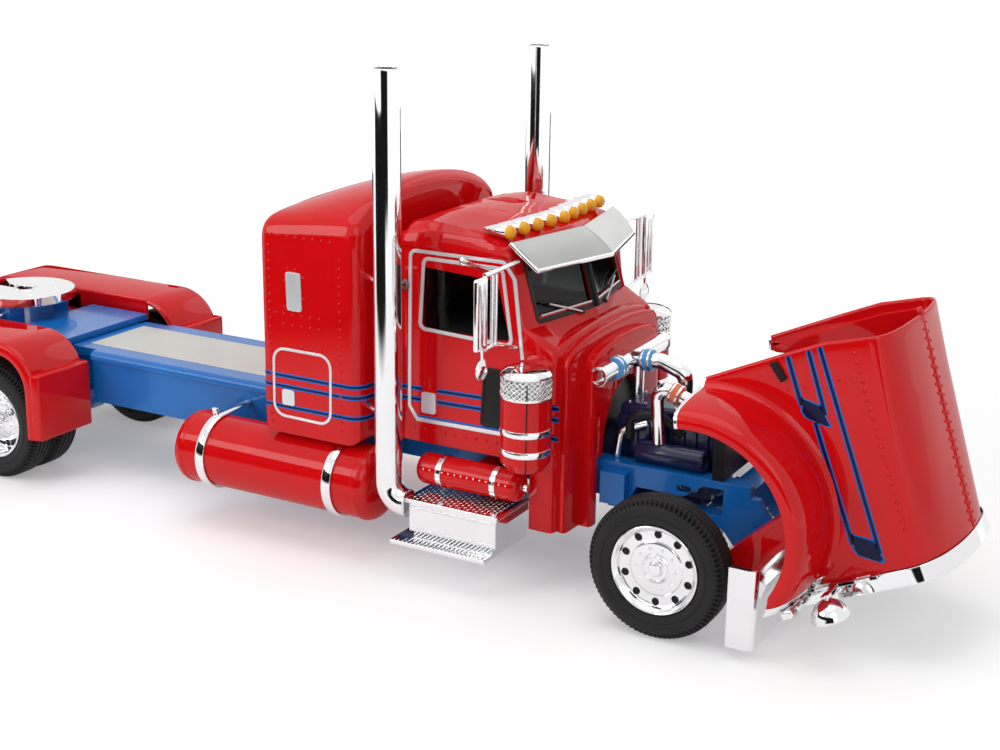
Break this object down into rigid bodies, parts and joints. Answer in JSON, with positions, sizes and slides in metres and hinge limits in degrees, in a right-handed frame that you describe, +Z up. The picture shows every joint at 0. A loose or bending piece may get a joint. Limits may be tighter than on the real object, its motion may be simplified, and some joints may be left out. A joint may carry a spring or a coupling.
{
  "type": "die-cast scale model of a semi truck tractor unit",
  "caption": "Scale model of a long-hood semi truck tractor with sleeper: tilting hood shown open over its engine, rolling wheels, fifth wheel, tall stacks.",
  "frame": {"origin": "on the ground under the middle of the model's outline with its hood open", "axes": "+X forward, +Y to the truck's left, +Z up"},
  "size_m": [0.1639, 0.0464, 0.0609],
  "materials": {
    "amber_lens": "gloss",
    "black_plastic": "moulded satin",
    "blue_paint": "gloss enamel",
    "chrome": "bright plating",
    "clear_glass": "clear tinted moulding",
    "light_blue_plastic": "gloss",
    "navy_paint": "satin enamel",
    "orange_plastic": "gloss",
    "pale_plate": "satin enamel",
    "red_paint": "gloss enamel",
    "steel": "plain turned",
    "tyre_rubber": "satin rubber"
  },
  "bodies": {
    "truck": {"frame_rails": "blue_paint", "front_suspension": "blue_paint", "rear_suspension": "blue_paint", "drive_shaft": "blue_paint", "engine_block": "navy_paint", "radiator": "black_plastic", "firewall": "black_plastic", "intake_pipes": "chrome", "intake_couplers": "light_blue_plastic", "charge_coupler": "orange_plastic", "bumper": "chrome", "sleeper_shell": "red_paint", "cab_shell": "red_paint", "cab_glazing": "clear_glass", "cab_interior": "black_plastic", "cowl": "red_paint", "sun_visor": "chrome", "marker_lamps": "chrome", "marker_lenses": "amber_lens", "mirrors": "chrome", "exhaust_stack_right": "chrome", "exhaust_stack_left": "chrome", "air_cleaners": "red_paint", "air_cleaner_caps": "chrome", "deck_cover": "blue_paint", "deck_insert": "pale_plate", "coupling_plate": "blue_paint", "fifth_wheel_pedestal": "blue_paint", "fifth_wheel": "chrome", "rear_fender_right": "red_paint", "rear_fender_left": "red_paint", "fuel_tank_right": "red_paint", "fuel_tank_left": "red_paint", "tank_straps": "chrome", "air_tanks": "red_paint", "step_box_right": "chrome", "step_box_left": "chrome"},
    "hood": {"hood_shell": "red_paint", "fender_trims": "chrome", "grille_shell": "chrome", "grille_bars": "chrome", "headlamps": "chrome", "hood_latches": "black_plastic", "hood_hinge": "chrome"},
    "front_wheelset": {"front_axle_pin": "steel", "front_wheels": "chrome", "front_tyres": "tyre_rubber"},
    "rear_wheelset_1": {"rear_axle_pin_1": "steel", "rear_wheels_1": "chrome", "rear_tyres_1": "tyre_rubber"},
    "rear_wheelset_2": {"rear_axle_pin_2": "steel", "rear_wheels_2": "chrome", "rear_tyres_2": "tyre_rubber"}
  },
  "joints": [
    {"name": "hood_tilt", "type": "hinge", "parent": "truck", "child": "hood", "pos_m": [0.058, 0, 0.0079], "axis": [0, -1, 0], "range_deg": [0, 66]},
    {"name": "front_wheels_roll", "type": "hinge", "parent": "truck", "child": "front_wheelset", "pos_m": [0.0496, 0, 0.00825], "axis": [0, 1, 0], "continuous": true},
    {"name": "rear_wheels_1_roll", "type": "hinge", "parent": "truck", "child": "rear_wheelset_1", "pos_m": [-0.0508, 0, 0.00825], "axis": [0, 1, 0], "continuous": true},
    {"name": "rear_wheels_2_roll", "type": "hinge", "parent": "truck", "child": "rear_wheelset_2", "pos_m": [-0.072, 0, 0.00825], "axis": [0, 1, 0], "continuous": true}
  ]
}
